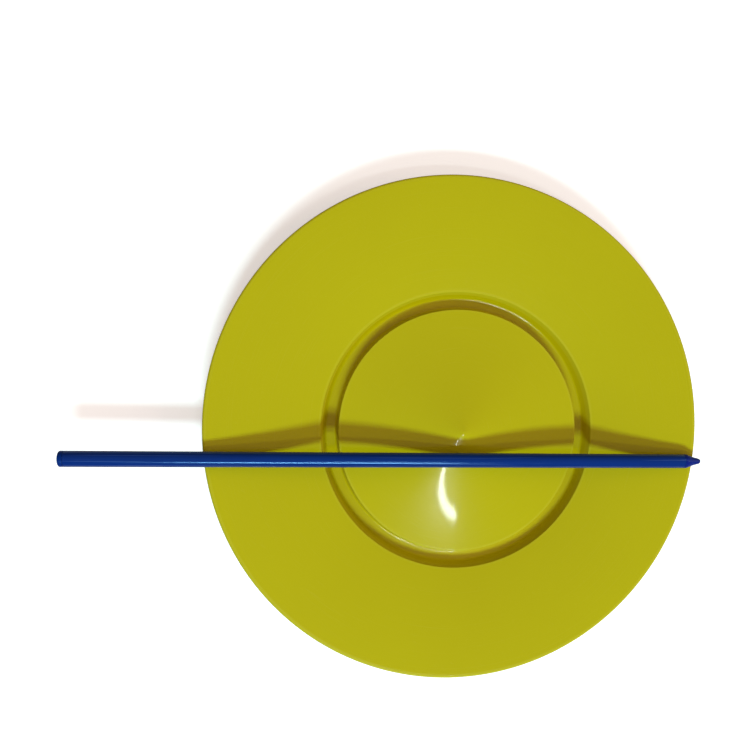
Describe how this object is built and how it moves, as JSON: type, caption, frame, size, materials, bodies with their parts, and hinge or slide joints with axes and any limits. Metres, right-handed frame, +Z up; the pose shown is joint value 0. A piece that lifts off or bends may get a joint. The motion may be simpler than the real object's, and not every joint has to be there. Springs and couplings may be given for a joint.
{
  "type": "spinning plate with stick",
  "caption": "Shallow round dish with a U-section foot ring and a raised centre cone, and a straight pointed stick that lies loose across its rim.",
  "frame": {"origin": "the plate's axis at the plane its foot ring stands on", "axes": "+X along the stick towards its pointed end, +Z up out of the dish"},
  "size_m": [0.2994, 0.24, 0.0247],
  "materials": {
    "plate_plastic": "polished injection moulding, opaque yellow",
    "stick_plastic": "smooth extruded tube, opaque blue",
    "tip_plastic": "moulded plug, opaque blue with a touch of violet",
    "cap_plastic": "moulded end cap, opaque blue"
  },
  "bodies": {
    "plate": {"plate": "plate_plastic"},
    "stick": {"stick_tube": "stick_plastic", "stick_tip": "tip_plastic", "stick_end_cap": "cap_plastic"}
  },
  "joints": [
    {"name": "stick_lift", "type": "slide", "parent": "plate", "child": "stick", "axis": [0, 0, 1], "range_m": [0, 0.15]}
  ]
}
